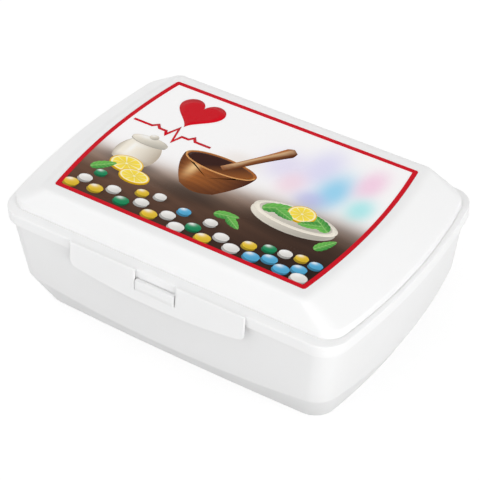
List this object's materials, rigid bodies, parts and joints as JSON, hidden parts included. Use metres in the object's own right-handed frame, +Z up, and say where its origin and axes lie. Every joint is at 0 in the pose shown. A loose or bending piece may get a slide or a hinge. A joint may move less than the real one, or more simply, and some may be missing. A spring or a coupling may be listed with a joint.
{
  "type": "medicine organizer box",
  "caption": "Flat-topped box with a hinged lid, a front snap flap and a printed lid, divided inside by lapped dividers and a lift-out pill tray.",
  "frame": {"origin": "centre of the box's outer extents, on the surface it stands on", "axes": "+Z up, +X to the right along the long side, -Y towards the front with the flap"},
  "size_m": [0.2, 0.142, 0.0727],
  "materials": {
    "tub_plastic": "satin moulded",
    "lid_plastic": "satin moulded",
    "flap_plastic": "satin moulded",
    "label_film": "printed film",
    "divider_plastic": "satin moulded",
    "tray_plastic": "satin moulded",
    "pin_steel": "drawn wire"
  },
  "bodies": {
    "base": {"base_tub": "tub_plastic", "hinge_pin_left": "pin_steel", "hinge_pin_right": "pin_steel", "long_divider": "divider_plastic", "cross_divider_left": "divider_plastic", "cross_divider_middle": "divider_plastic", "cross_divider_right": "divider_plastic", "pill_tray": "tray_plastic"},
    "lid": {"lid_shell": "lid_plastic", "lid_label": "label_film"},
    "latch": {"latch_flap": "flap_plastic"}
  },
  "joints": [
    {"name": "lid_hinge", "type": "hinge", "parent": "base", "child": "lid", "pos_m": [0, 0.0678, 0.0522], "axis": [-1, 0, 0], "range_deg": [0, 110]},
    {"name": "latch_hinge", "type": "hinge", "parent": "lid", "child": "latch", "pos_m": [0, -0.068, 0.0577], "axis": [-1, 0, 0], "range_deg": [0, 105], "stiffness_Nm_per_rad": 0.0005}
  ]
}
